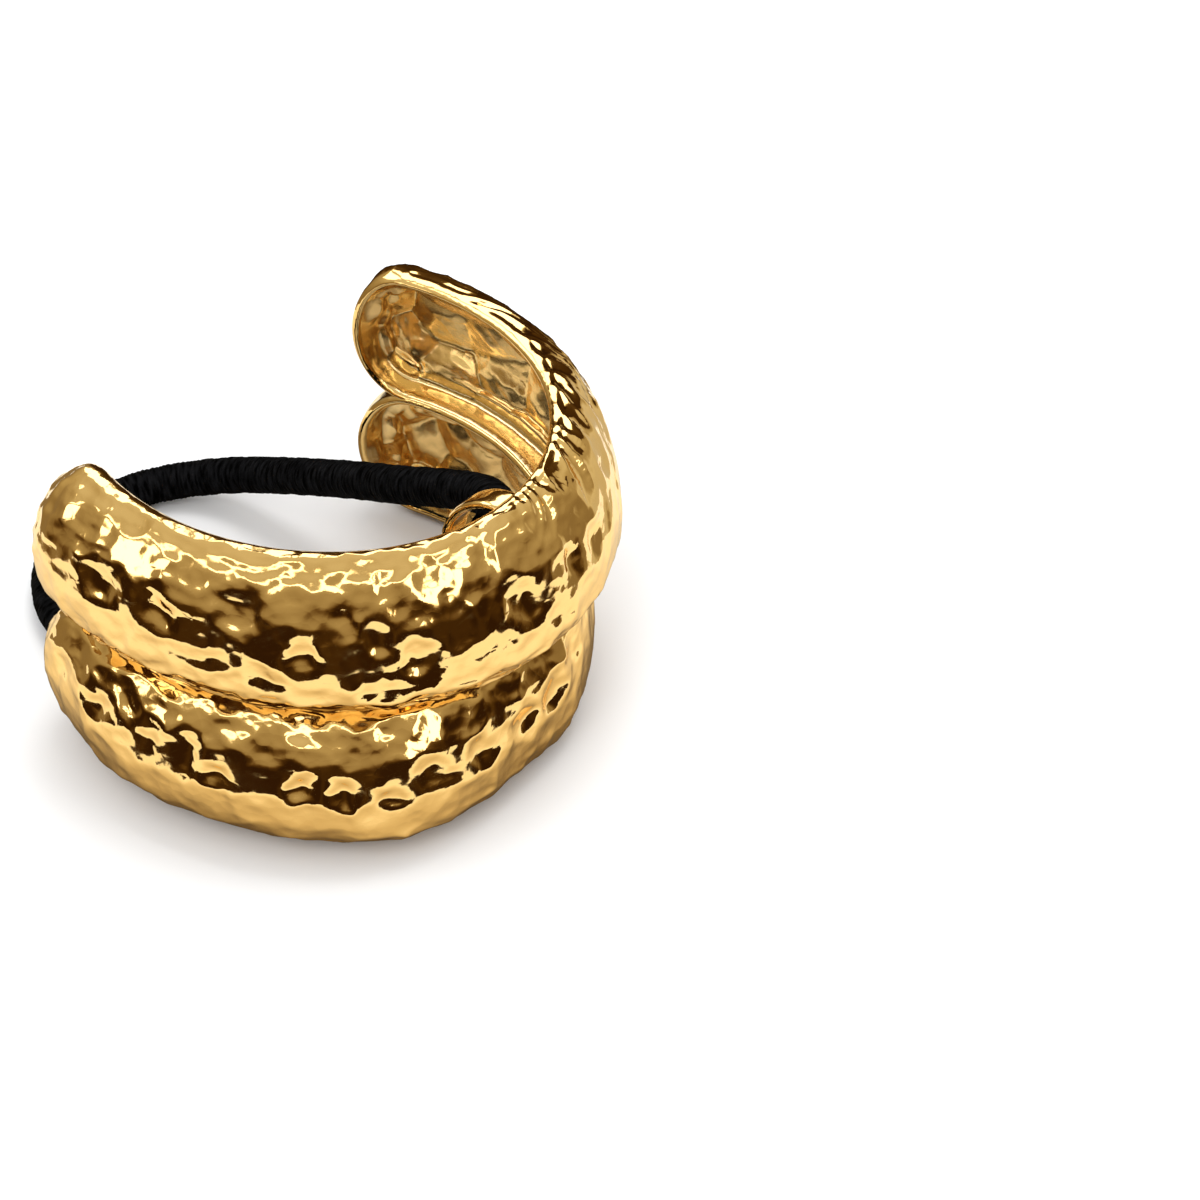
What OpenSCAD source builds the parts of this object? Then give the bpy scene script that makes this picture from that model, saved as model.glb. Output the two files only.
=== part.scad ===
// Ponytail cuff: two hollow hammered rows that share a rim, a soldered holder and a loop of elastic.
// Millimetres, +Z up. The cuff stands on z = 0 and its mouth faces +Y.

/* [Ring] */
// Half width of the space inside the rims
ring_half_w = 21.2; // [17:0.2:25]
// Distance from the ring's centre to the rims at the cuff's middle
ring_half_d = 24; // [19:0.5:28]
// How far each end reaches round from the middle, in degrees
end_angle = 121; // [105:1:128]

/* [Rows] */
// Height from one row's middle line to the next
row_pitch = 14.5; // [12:0.25:17]
// How far a row stands out from its rims
bulge = 7; // [5:0.25:9]
// How far a row's free side swells past its rim
swell = 0.85; // [0.4:0.05:1.4]
// How far the widest line of a leaning row lies below its middle
droop = 4; // [0:0.5:5]
// Length of the upper row's rounded ends
upper_end = 5.6; // [4:0.2:7]
// Length of the lower row's rounded ends
lower_end = 6.2; // [4:0.2:7]
// Thickness of the metal
wall = 1.1; // [0.9:0.1:1.5]
// Width of the smooth rim
rim_w = 1; // [0.8:0.1:1.4]
// Height of the rim's rounded edge
rim_round = 0.35; // [0.2:0.05:0.6]

/* [Dents] */
// Half length of the longest hammer dent
dent_len = 3; // [2:0.1:4]
// Depth of the deepest hammer dent
dent_depth = 1.2; // [0.4:0.1:1.5]
// Spacing of the plain dents round the right side
dent_gap = 5; // [4:0.5:8]

/* [Holder] */
// Width of the holder's strap
holder_w = 3; // [2:0.25:4]
// Thickness of the holder's strap
holder_t = 1; // [0.8:0.1:1.4]
// How far the middle of the strap stands in from the rims
holder_in = 6.8; // [6:0.2:9]
// Shift of the holder to the right of the cuff's middle
holder_x = 0.5; // [-2:0.25:2]

/* [Elastic] */
// Diameter of the elastic
elastic_d = 4; // [3:0.25:4.25]

/* [Hidden] */

// The rows follow an ellipse, measured along it in millimetres from the cuff's middle
mm_per_rad = (ring_half_w + ring_half_d) / 2;
half_span = mm_per_rad * end_angle * PI / 180;
// A row's half height is larger on its free side than on the side it shares
shared_h = (row_pitch + rim_w) / 2;
free_h = shared_h + swell;
swell_reach = 3;
shared_power = 3;
free_power = 2.3;
lean_power = 1.85;
// The lower row's shared rim lies this much further in and lower than the upper row's, which it fuses with
rim_tuck = 0.15;
// Distance over the skin from a row's middle line to its rim
half_girth = (free_h + bulge) * 0.77;
// The inner skin follows the dents a little less deeply
inner_gain = 0.8;

// Points along each row between its rounded ends, and steps round an end
UPPER_STEPS = 57;
LOWER_STEPS = 58;
ROUND = 10;

// Rings of the outer and the inner skin: 1 at the rim, 0 on the row's middle line
OUTER = [1, 0.96, 0.88, 0.78, 0.66, 0.54, 0.42, 0.3, 0.18, 0.08];
INNER = [1, 0.86, 0.68, 0.5, 0.32, 0.14];

// How far each row stands out along the cuff, as shares of bulge, and how much its face leans back
PLACE = 0;
UPPER = 1;
LOWER = 2;
UPPER_LEAN = 3;
LOWER_LEAN = 4;
SECTIONS = [
    [-1,    1.12, 1.08, 0,   0],
    [-0.66, 0.97, 1.37, 0.7, 0.5],
    [-0.33, 0.97, 1.45, 1,   0.7],
    [0,     0.95, 0.82, 1,   0.7],
    [0.33,  0.97, 0.58, 0.7, 0.4],
    [0.66,  0.84, 0.68, 0,   0],
    [1,     0.86, 0.95, 0,   0]
];

// Hammer dents: place along the row as a share of half_span, place across as a share of half_girth,
// half length and half width as shares of dent_len, turn in degrees, depth as a share of dent_depth
UPPER_DENTS = [
    [-0.9,  0.47,  0.8,  0.45, 90,  0.55],
    [-0.83, 0.47,  0.85, 0.55, 80,  0.5],
    [-0.76, 0.18,  0.75, 0.65, 95,  0.85],
    [-0.65, 0.17,  0.7,  0.6,  -15, 0.85],
    [-0.72, -0.11, 0.5,  0.4,  45,  0.45],
    [-0.75, 0.75,  0.8,  0.5,  -40, 0.45],
    [-0.6,  0.55,  0.7,  0.5,  100, 0.5],
    [-0.52, 0.34,  0.95, 0.7,  85,  1],
    [-0.56, -0.05, 0.6,  0.35, 0,   0.5],
    [-0.48, -0.1,  0.65, 0.4,  -30, 0.6],
    [-0.45, 0.62,  0.7,  0.6,  65,  0.5],
    [-0.42, 0.06,  0.6,  0.55, 100, 0.9],
    [-0.36, 0.33,  0.65, 0.4,  90,  0.65],
    [-0.31, 0.17,  0.8,  0.5,  90,  0.85],
    [-0.25, 0,     0.7,  0.6,  -55, 1],
    [-0.29, 0.63,  1,    0.35, 95,  0.5],
    [-0.22, 0.63,  1,    0.35, 98,  0.5],
    [-0.18, 0.2,   0.9,  0.45, 97,  0.45],
    [-0.11, 0.6,   1,    0.4,  95,  0.6],
    [-0.06, 0.12,  1,    0.7,  -55, 0.95],
    [0,     -0.1,  0.5,  0.35, -25, 0.45],
    [0.01,  0.62,  1,    0.4,  90,  0.6],
    [0.06,  0.15,  0.6,  0.5,  65,  0.8],
    [0.13,  0.12,  0.7,  0.6,  105, 0.8],
    [0.2,   0.17,  0.9,  0.6,  30,  0.65],
    [-0.43, -0.5,  0.5,  0.45, 0,   0.5],
    [-0.35, -0.43, 0.7,  0.45, 0,   0.55],
    [-0.25, -0.45, 0.7,  0.4,  0,   0.45],
    [-0.13, -0.42, 0.7,  0.4,  0,   0.4]
];
LOWER_DENTS = [
    [-0.86, 0.2,   0.85, 0.6,  63,  0.7],
    [-0.83, 0.45,  0.7,  0.45, 120, 0.5],
    [-0.76, 0.22,  0.7,  0.5,  42,  0.75],
    [-0.71, 0.38,  0.85, 0.4,  120, 0.65],
    [-0.66, 0.17,  0.85, 0.5,  90,  0.75],
    [-0.6,  0.22,  0.9,  0.55, 95,  0.95],
    [-0.55, 0.03,  0.5,  0.4,  30,  0.75],
    [-0.55, 0.46,  0.75, 0.5,  80,  0.45],
    [-0.48, 0.38,  0.7,  0.5,  76,  0.5],
    [-0.43, 0.02,  0.6,  0.5,  50,  0.9],
    [-0.43, 0.6,   0.6,  0.5,  77,  0.4],
    [-0.37, 0,     0.55, 0.45, 86,  0.85],
    [-0.36, 0.4,   0.65, 0.55, -30, 0.5],
    [-0.3,  -0.04, 0.55, 0.45, -54, 0.75],
    [-0.29, 0.46,  0.65, 0.5,  -60, 0.45],
    [-0.24, 0.1,   0.8,  0.55, -58, 1],
    [-0.19, 0.38,  0.85, 0.5,  97,  0.45],
    [-0.16, 0.06,  0.65, 0.5,  -36, 0.85],
    [-0.06, 0.05,  0.7,  0.55, 0,   0.85],
    [-0.11, 0.4,   0.9,  0.7,  -67, 0.35],
    [0.02,  0.08,  0.75, 0.55, 90,  0.85],
    [0,     0.5,   0.85, 0.7,  95,  0.35],
    [0.1,   0.22,  0.85, 0.6,  77,  0.65],
    [-0.78, -0.2,  1,    0.5,  43,  0.35],
    [-0.68, -0.4,  0.8,  0.45, 30,  0.45],
    [-0.58, -0.42, 0.8,  0.45, 20,  0.4],
    [-0.5,  -0.38, 0.75, 0.5,  58,  0.45],
    [-0.4,  -0.36, 0.8,  0.5,  80,  0.45],
    [-0.27, -0.22, 0.6,  0.45, -27, 0.45],
    [-0.18, -0.18, 0.65, 0.45, -23, 0.45],
    [-0.08, -0.2,  0.7,  0.5,  -21, 0.45],
    [0.02,  -0.15, 0.7,  0.55, 115, 0.45]
];

// Route of the elastic from under the holder, out over the floor and back, relative to the ring's centre
ROUTE = [
    [0, -21.3, 24.8],
    [4.4, -19.3, 24.3],
    [7.2, -15.3, 22.6],
    [8.1, -9.2, 19.7],
    [8.6, -3, 16.6],
    [9.5, 3.6, 13.2],
    [10, 10, 10],
    [10.1, 16.2, 7],
    [9.4, 21.8, 4.6],
    [7.6, 26.2, 3],
    [4.6, 29.3, 2.3],
    [1, 31.1, 2.05],
    [-3.2, 31.6, 2.05],
    [-7.6, 30.6, 2.05],
    [-11.6, 28.2, 2.05],
    [-14.8, 24.9, 2.05],
    [-16.8, 21, 2.05],
    [-17.3, 16.6, 2.05],
    [-16.6, 11.8, 2.2],
    [-16, 6.8, 3],
    [-15.8, 1.4, 5.2],
    [-15.4, -4, 8.6],
    [-14.3, -9.4, 13],
    [-12, -14.4, 17.6],
    [-8.6, -18.4, 21.6],
    [-4.4, -20.8, 24]
];
// Rings along each stretch of the route, and sides of each ring
ROUTE_STEPS = 3;
ROUTE_SIDES = 10;

function clamp01(x) = max(0, min(1, x));
function eased(x) = let (f = clamp01(x)) f * f * (3 - 2 * f);

// A column of SECTIONS at place x, eased from row to row
function section(x, column, i = 0) =
    x > SECTIONS[i + 1][PLACE] && i < len(SECTIONS) - 2
        ? section(x, column, i + 1)
        : let (a = SECTIONS[i], b = SECTIONS[i + 1])
            a[column] + (b[column] - a[column]) * eased((x - a[PLACE]) / (b[PLACE] - a[PLACE]));

// Plain dents on a shaken grid, where no single dent was charted
function shake(i, j, k) = sin(i * 73 + j * 151 + k * 37);
plain_steps = floor(0.74 * half_span / dent_gap);
function plain_dents(row) = [
    for (i = [0 : plain_steps], j = [-1 : 1])
        [
            0.26 + 0.7 * (i + 0.3 * shake(i, j, 1)) / plain_steps,
            j * 0.4 + 0.1 * shake(i, j, 2) + 0.04 * row,
            0.75 + 0.2 * shake(i, j, 3),
            0.5 + 0.1 * shake(i, j, 4),
            90 + 50 * shake(i, j, 5),
            0.65 + 0.25 * shake(i, j, 6)
        ]
];
upper_dents = concat(UPPER_DENTS, plain_dents(1));
lower_dents = concat(LOWER_DENTS, plain_dents(-1));

// Depth of one dent at (p, q): a paraboloid over a turned ellipse
function one_dent(dent, p, q) =
    let (
        x = p - dent[0] * half_span,
        y = q - dent[1] * half_girth,
        a = (x * cos(dent[4]) + y * sin(dent[4])) / (dent[2] * dent_len),
        b = (y * cos(dent[4]) - x * sin(dent[4])) / (dent[3] * dent_len)
    )
    dent[5] * dent_depth * (1 - a * a - b * b);

// The deepest dent at (p, q) wins, and the rim stays smooth
function hammered(dents, p, q, smooth_rim) =
    smooth_rim * max(0, max([for (dent = dents) one_dent(dent, p, q)]));

// The point at distance u along the ring's ellipse, w outwards and z up
function on_ring(u, w, z) =
    let (
        t = u / mm_per_rad * 180 / PI,
        n = [sin(t) / ring_half_w, -cos(t) / ring_half_d],
        out = n * w / norm(n)
    )
    [ring_half_w * sin(t) + out.x, -ring_half_d * cos(t) + out.y, z];

// Once round a row's outline: [place on the middle line, share along, share up]
function end_length(row) = row > 0 ? upper_end : lower_end;
function along(row) = row > 0 ? UPPER_STEPS : LOWER_STEPS;
function outline(row) =
    let (n = along(row), straight = half_span - end_length(row))
    concat(
        [for (i = [0 : n - 1]) [straight * (2 * i / (n - 1) - 1), 0, 1]],
        [for (i = [1 : ROUND - 1]) let (a = 90 - 180 * i / ROUND) [straight, cos(a), sin(a)]],
        [for (i = [0 : n - 1]) [straight * (1 - 2 * i / (n - 1)), 0, -1]],
        [for (i = [1 : ROUND - 1]) let (a = -90 + 180 * i / ROUND) [-straight, -cos(a), sin(a)]]
    );

// A skin point of a row (1 upper, -1 lower), at share g from the middle line to the rim, inset into the metal.
// The cross-section is a superellipse, rounder on the free side, and the ends turn it about the middle line.
// Where a row leans, its widest line lies lower and the face above it is straighter.
function skin(row, o, g, inset, gain) =
    let (
        free = eased((1 + row * o[2]) / 2),
        lean = section(o[0] / half_span, row > 0 ? UPPER_LEAN : LOWER_LEAN),
        side_power = shared_power + (free_power - shared_power) * free,
        power = side_power + (lean_power - side_power) * lean * eased((1 + o[2]) / 2),
        shared = row < 0 ? rim_tuck * (1 - free) : 0,
        height = shared_h + swell * free - shared,
        deep = bulge * section(o[0] / half_span, row > 0 ? UPPER : LOWER),
        fade = clamp01((1 - g) / 0.1) * (free + (1 - free) * eased((0.82 - g) / 0.2)),
        dents = row > 0 ? upper_dents : lower_dents,
        p = o[0] + half_girth * g * o[1],
        q = half_girth * g * o[2] - 0.7 * droop * lean * (1 - g),
        d = inset + gain * hammered(dents, p, q, fade),
        up = pow(cos(90 * (1 - g)), 2 / power),
        out = pow(sin(90 * (1 - g)), 2 / power),
        tuck = shared * eased((g - 0.8) / 0.2),
        w = (deep - d) * out,
        lift = swell * free * pow(clamp01(1 - w / swell_reach), 2)
    )
    on_ring(
        o[0] + o[1] * up * (end_length(row) - d),
        w - tuck,
        o[2] * (up * (height - d) - lift) - droop * lean * (1 - up)
    );

// The rounded edge of the rim, at share s of its width
function rim(row, o, s) =
    let (
        free = eased((1 + row * o[2]) / 2),
        inset = rim_w * s,
        shared = row < 0 ? rim_tuck * (1 - free) : 0
    )
    on_ring(
        o[0] + o[1] * (end_length(row) - inset),
        -rim_round - shared,
        o[2] * (shared_h - shared - inset)
    );

// All points of a row: outer skin, rim, inner skin, then the outer and the inner middle line
RINGS = len(OUTER) + 2 + len(INNER);
function row_points(row) =
    let (round = outline(row), line = [for (i = [0 : along(row) - 1]) round[i]])
    concat(
        [for (g = OUTER, o = round) skin(row, o, g, 0, 1)],
        [for (s = [0.25, 0.75], o = round) rim(row, o, s)],
        [for (g = INNER, o = round) skin(row, o, g, g == 1 ? rim_w : wall, inner_gain)],
        [for (o = line) skin(row, o, 0, 0, 1)],
        [for (o = line) skin(row, o, 0, wall, inner_gain)]
    );

// The rings in the order in which strips of faces join them: outer skin up to the rim, then the inner skin
RING_ORDER = concat(
    [for (i = [len(OUTER) - 1 : -1 : 0]) i],
    [for (i = [len(OUTER) : RINGS - 1]) i]
);

// The middle-line point that outline point j of n along runs to
function middle(j, n) =
    j < n ? j
        : j < n + ROUND - 1 ? n - 1
        : j < 2 * n + ROUND - 1 ? 2 * n + ROUND - 2 - j
        : 0;

// Faces between a ring and its middle line, without those that would have no width at the round ends
function middle_faces(n, ring, inside) =
    let (count = 2 * (n + ROUND - 1), first = RINGS * count + inside * n)
    [
        for (j = [0 : count - 1])
            let (
                k = (j + 1) % count,
                a = ring * count + j,
                b = ring * count + k,
                c = first + middle(k, n),
                d = first + middle(j, n),
                narrow = c == d ? [] : inside == 0 ? [[a, c, d]] : [[a, d, c]],
                wide = inside == 0 ? [[a, b, c]] : [[a, c, b]]
            )
            each concat(narrow, wide)
    ];
function row_faces(row) =
    let (n = along(row), count = 2 * (n + ROUND - 1))
    concat(
        [
            for (r = [0 : RINGS - 2], j = [0 : count - 1])
                let (
                    k = (j + 1) % count,
                    a = RING_ORDER[r] * count,
                    b = RING_ORDER[r + 1] * count
                )
                each [[a + j, b + j, b + k], [a + j, b + k, a + k]]
        ],
        middle_faces(n, len(OUTER) - 1, 0),
        middle_faces(n, RINGS - 1, 1)
    );

// The lower row stands on the floor, and the origin is under the middle of the cuff's box
upper_points = row_points(1);
lower_points = row_points(-1);
all_points = concat(upper_points, lower_points);
lower_z = -min([for (p = lower_points) p.z]);
upper_z = lower_z + row_pitch;
centre_x = (min([for (p = all_points) p.x]) + max([for (p = all_points) p.x])) / 2;
centre_y = (min([for (p = all_points) p.y]) + max([for (p = all_points) p.y])) / 2;

module upper_row() {
    translate([0, 0, upper_z])
        polyhedron(upper_points, row_faces(1), convexity = 8);
}

module lower_row() {
    translate([0, 0, lower_z])
        polyhedron(lower_points, row_faces(-1), convexity = 8);
}

// The holder's strap bends in a flattened half ring from the upper rim's middle to the shared rim's middle
HOLDER_STEPS = 12;
HOLDER_POWER = 1.8;
function holder_at(a) =
    let (
        h = shared_h - rim_w / 2,
        y = pow(cos(a), 2 / HOLDER_POWER) * holder_in,
        z = sign(a) * pow(abs(sin(a)), 2 / HOLDER_POWER) * h
    )
    [holder_x, y - ring_half_d, upper_z + z];

// A rounded cross-bar of the strap, with pointed ends
module holder_bar(i) {
    translate(holder_at(180 * i / HOLDER_STEPS - 90))
        for (end = [-1, 1])
            rotate([0, 90 * end, 0]) {
                cylinder(h = holder_w / 2 - 0.3 * holder_t, d = holder_t, $fn = 8);
                cylinder(h = holder_w / 2, d1 = holder_t, d2 = 0, $fn = 8);
            }
}

module holder() {
    for (i = [0 : HOLDER_STEPS - 1])
        hull() {
            holder_bar(i);
            holder_bar(i + 1);
        }
}

module hammered_cuff() {
    color("goldenrod")
        translate([-centre_x, -centre_y, 0]) {
            upper_row();
            lower_row();
            holder();
        }
}

// A closed smooth curve through the route's points
function route_at(i, f) =
    let (
        n = len(ROUTE),
        a = ROUTE[(i + n - 1) % n],
        b = ROUTE[i],
        c = ROUTE[(i + 1) % n],
        d = ROUTE[(i + 2) % n]
    )
    (2 * b + (c - a) * f + (2 * a - 5 * b + 4 * c - d) * f * f + (3 * b - a - 3 * c + d) * f * f * f) / 2;
route_points = [for (i = [0 : len(ROUTE) - 1], s = [0 : ROUTE_STEPS - 1]) route_at(i, s / ROUTE_STEPS)];
route_count = len(route_points);

// A ring of the tube stands square to the route, with a corner at its lowest point
function tube_ring(i) =
    let (
        ahead = route_points[(i + 1) % route_count] - route_points[(i + route_count - 1) % route_count],
        along = ahead / norm(ahead),
        side = cross(along, [0, 0, 1]) / norm(cross(along, [0, 0, 1])),
        up = cross(side, along)
    )
    [
        for (k = [0 : ROUTE_SIDES - 1])
            let (a = 360 * k / ROUTE_SIDES)
            route_points[i] + elastic_d / 2 * (sin(a) * side - cos(a) * up)
    ];

module elastic_loop() {
    points = [for (i = [0 : route_count - 1]) each tube_ring(i)];
    faces = [
        for (i = [0 : route_count - 1], k = [0 : ROUTE_SIDES - 1])
            let (
                a = i * ROUTE_SIDES,
                b = ((i + 1) % route_count) * ROUTE_SIDES,
                m = (k + 1) % ROUTE_SIDES
            )
            each [[a + k, b + k, b + m], [a + k, b + m, a + m]]
    ];
    color("black")
        translate([-centre_x, -centre_y, 0])
            polyhedron(points, faces, convexity = 6);
}

hammered_cuff();
elastic_loop();
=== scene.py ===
"""Ponytail cuff: two hollow hammered gold rows, a soldered holder and a loop of wound black elastic."""
import math

import bmesh
import bpy
import numpy as np
from mathutils import Matrix


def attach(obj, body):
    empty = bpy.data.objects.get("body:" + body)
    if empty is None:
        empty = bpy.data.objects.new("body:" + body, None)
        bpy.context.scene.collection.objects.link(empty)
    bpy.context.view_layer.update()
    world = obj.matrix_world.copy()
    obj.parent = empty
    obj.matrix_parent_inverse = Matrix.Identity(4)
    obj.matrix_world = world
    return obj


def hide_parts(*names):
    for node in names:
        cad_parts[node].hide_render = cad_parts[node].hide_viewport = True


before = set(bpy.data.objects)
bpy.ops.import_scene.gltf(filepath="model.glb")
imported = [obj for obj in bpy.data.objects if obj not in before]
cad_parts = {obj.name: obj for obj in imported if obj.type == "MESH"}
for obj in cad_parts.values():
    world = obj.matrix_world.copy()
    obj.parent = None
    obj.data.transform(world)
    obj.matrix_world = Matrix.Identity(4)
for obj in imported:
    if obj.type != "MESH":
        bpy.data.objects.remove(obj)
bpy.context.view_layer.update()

# Lengths are in millimetres up to the mesh, which is in metres. Points closer than MERGE become one
MM = 0.001
MERGE = 0.0002

# Place of the ring's centre and of the rows' middle lines in the part's frame
RING_X = 1.75915
RING_Y = 8.37434
ROW_PITCH = 14.5
LOWER_Z = 8.47233
UPPER_Z = LOWER_Z + ROW_PITCH

# The ring, an ellipse that the rims follow, and the angle from its middle to each end of the cuff
RING_HALF_W = 21.2
RING_HALF_D = 24.0
END_ANGLE = 121.0
MM_PER_RAD = (RING_HALF_W + RING_HALF_D) / 2
HALF_SPAN = MM_PER_RAD * math.radians(END_ANGLE)

# The rows: how far they bulge out, how far they swell past a free rim and how soon after it, and the
# length of their round ends
BULGE = 7.0
SWELL = 0.85
SWELL_REACH = 1.8
UPPER_END = 5.6
LOWER_END = 6.2

# Their wall and rims, with how far the lower row's shared rim is tucked in behind the upper row's
WALL = 1.1
RIM_W = 1.0
RIM_ROUND = 0.35
RIM_TUCK = 0.15

# Half the height of a row on its shared and its free side, and the power of its superellipse there
SHARED_H = (ROW_PITCH + RIM_W) / 2
FREE_H = SHARED_H + SWELL
SHARED_POWER = 3.0
FREE_POWER = 2.3

# How far a face that leans back sinks, how much of that its dents follow, and the power of its upper side
DROOP = 4.0
DENT_DROOP = 0.7
LEAN_POWER = 1.85

# The way from a row's middle line to its rim over the outside, from its height and bulge together
GIRTH_SHARE = 0.77
HALF_GIRTH = (FREE_H + BULGE) * GIRTH_SHARE

# The hammering: size and depth of the charted dents, and the softness of the ridges between them
DENT_LEN = 3.0
DENT_DEPTH = 1.15
RIDGE = 0.03

# Smaller marks between the dents, fading where a dent is deep, and finer marks and waves over all
MARK_CELL = 3.4
MARK_DEPTH = 0.46
MARK_FADE = 0.6
MARK_LEAST = 0.15
FINE_CELL = 1.7
FINE_DEPTH = 0.17
FINE_WAVE = 2.4
FINE_WAVE_DEPTH = 0.04

# Long creases on the right side: how they slant and stretch, how much they take over, and what stays of
# deep dents
CREASE_CELL = 2.8
CREASE_DEPTH = 0.55
FINE_CREASE_CELL = 1.4
FINE_CREASE_DEPTH = 0.12
CREASE_SLANT = 0.5
CREASE_STRETCH = 0.3
FINE_CREASE_STRETCH = 0.4
CREASED = 0.85
DEEP_DENT = 0.5
DEEP_KEPT = 0.3

# Slanted flutes on the upper row, the marks on them, and how deep the fluted part lies
FLUTE_PITCH = 1.7
FLUTE_DEPTH = 0.24
FLUTED_CELL = 2.2
FLUTED_DEPTH = 0.1
FLUTED_SUNK = 0.65

# Depth taken off the relief, so that the skin stays about where the plain row is, and the highest ridge
MEAN_DEPTH = 0.35
HIGHEST = 0.25

# Soft lumps and waves inside the rows, and how much shallower the outer relief comes through there
UPPER_LUMP = 6
LOWER_LUMP = 4.6
LUMP_DEPTH = 1.9
LUMP_WAVE = 3.4
LUMP_WAVE_DEPTH = 0.03
OUTER_LESS = 0.65

# The holder and the elastic
HOLDER_W = 3.0
HOLDER_T = 1.0
HOLDER_IN = 6.8
HOLDER_X = 0.5
HOLDER_POWER = 1.8
ELASTIC_D = 4.0

# The photograph's camera: degrees round the ring, up and of roll, its distance, how far it is moved right
# and up, the height of the point that it would aim at, and its lens
CAMERA_AZIMUTH = -51.09
CAMERA_ELEVATION = 41.03
CAMERA_ROLL = 0.83
CAMERA_DISTANCE = 300.0
CAMERA_RIGHT = 27.63
CAMERA_UP = 3.0
CAMERA_LIFT = 1.5
CAMERA_LENS = 88.58


def make_camera():
    """A camera that looks from CAMERA_AZIMUTH and CAMERA_ELEVATION, with the cuff left of its centre."""
    azimuth, elevation, roll = (math.radians(a) for a in (CAMERA_AZIMUTH, CAMERA_ELEVATION, CAMERA_ROLL))
    level = np.array([math.cos(azimuth), math.sin(azimuth), 0.0])
    ahead = np.array([-math.sin(azimuth), math.cos(azimuth), 0.0])
    z = np.array([0.0, 0.0, 1.0])
    back = z * math.sin(elevation) - ahead * math.cos(elevation)
    upward = ahead * math.sin(elevation) + z * math.cos(elevation)
    right = level * math.cos(roll) + upward * math.sin(roll)
    up = upward * math.cos(roll) - level * math.sin(roll)
    centre = np.array([RING_X, RING_Y, CAMERA_LIFT])
    place = centre + right * CAMERA_RIGHT + up * CAMERA_UP + back * CAMERA_DISTANCE
    data = bpy.data.cameras.new("photo_camera")
    data.lens = CAMERA_LENS
    data.clip_start = 0.01
    camera = bpy.data.objects.new("photo_camera", data)
    matrix = np.eye(4)
    matrix[:3, 0], matrix[:3, 1], matrix[:3, 2], matrix[:3, 3] = right, up, back, place * MM
    camera.matrix_world = Matrix(matrix.tolist())
    bpy.context.scene.collection.objects.link(camera)
    bpy.context.scene.camera = camera


make_camera()


def mesh_piece(name, points, quads, material, attributes=None, corner_uv=None, caps=()):
    """A smooth-shaded closed object at the origin, from points in millimetres, four-sided faces and end
    caps. Points that meet are merged and all faces point outwards."""
    mesh = bpy.data.meshes.new(name)
    mesh.from_pydata((points * MM).tolist(), [], quads.tolist() + [list(cap) for cap in caps])
    for key, values in (attributes or {}).items():
        layer = mesh.attributes.new(key, "FLOAT", "POINT")
        layer.data.foreach_set("value", values.astype(np.float32))
    if corner_uv is not None:
        layer = mesh.uv_layers.new(name="UVMap")
        layer.data.foreach_set("uv", corner_uv.astype(np.float32).ravel())
    tidy = bmesh.new()
    tidy.from_mesh(mesh)
    bmesh.ops.remove_doubles(tidy, verts=tidy.verts, dist=MERGE * MM)
    bmesh.ops.recalc_face_normals(tidy, faces=tidy.faces)
    tidy.to_mesh(mesh)
    tidy.free()
    mesh.shade_smooth()
    mesh.materials.append(material)
    piece = bpy.data.objects.new(name, mesh)
    bpy.context.scene.collection.objects.link(piece)
    return piece


def grid_quads(rows, columns, closed=False):
    """Faces of a grid of points stored row by row, and the row and column of each corner. The last column is
    joined to the first, and in a closed grid the last row to the first too."""
    i = np.arange(rows if closed else rows - 1)[:, None]
    j = np.arange(columns)[None, :]
    steps = [(0, 0), (1, 0), (1, 1), (0, 1)]
    corners = [(i + a) % rows * columns + (j + b) % columns for a, b in steps]
    places = [np.stack(np.broadcast_arrays(i + a, j + b), axis=-1) for a, b in steps]
    quads = np.stack(np.broadcast_arrays(*corners), axis=-1).reshape(-1, 4)
    return quads, np.stack(places, axis=2).reshape(-1, 4, 2)


# Route of the elastic from under the holder, out over the floor and back, relative to the ring's centre
ROUTE = [
    (0, -21.3, 24.8), (4.4, -19.3, 24.3), (7.2, -15.3, 22.6), (8.1, -9.2, 19.7), (8.6, -3, 16.6),
    (9.5, 3.6, 13.2), (10, 10, 10), (10.1, 16.2, 7), (9.4, 21.8, 4.6), (7.6, 26.2, 3), (4.6, 29.3, 2.3),
    (1, 31.1, 2.05), (-3.2, 31.6, 2.05), (-7.6, 30.6, 2.05), (-11.6, 28.2, 2.05), (-14.8, 24.9, 2.05),
    (-16.8, 21, 2.05), (-17.3, 16.6, 2.05), (-16.6, 11.8, 2.2), (-16, 6.8, 3), (-15.8, 1.4, 5.2),
    (-15.4, -4, 8.6), (-14.3, -9.4, 13), (-12, -14.4, 17.6), (-8.6, -18.4, 21.6), (-4.4, -20.8, 24),
]

# Places worked out on the route between each two of its points, for the tube
TUBE_STEPS = 60

# The elastic's length, its wound threads, and rings and sides of the tube
ELASTIC_LENGTH = 145
THREAD_PITCH = 0.46
THREAD_HEIGHT = 0.12
RINGS_PER_THREAD = 6
ELASTIC_SIDES = 28

# How a thread wanders: share of its pitch, waves round the tube, and radians from one thread to the next
WANDERS = [(0.22, 3, 0.9), (0.16, 5, -1.7)]

# Shares of THREAD_HEIGHT: the groove between threads, the sinking of whole threads, and what all have
GROOVE_SHARE = 0.7
SUNK_SHARE = 0.2
REST_SHARE = 0.3


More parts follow.
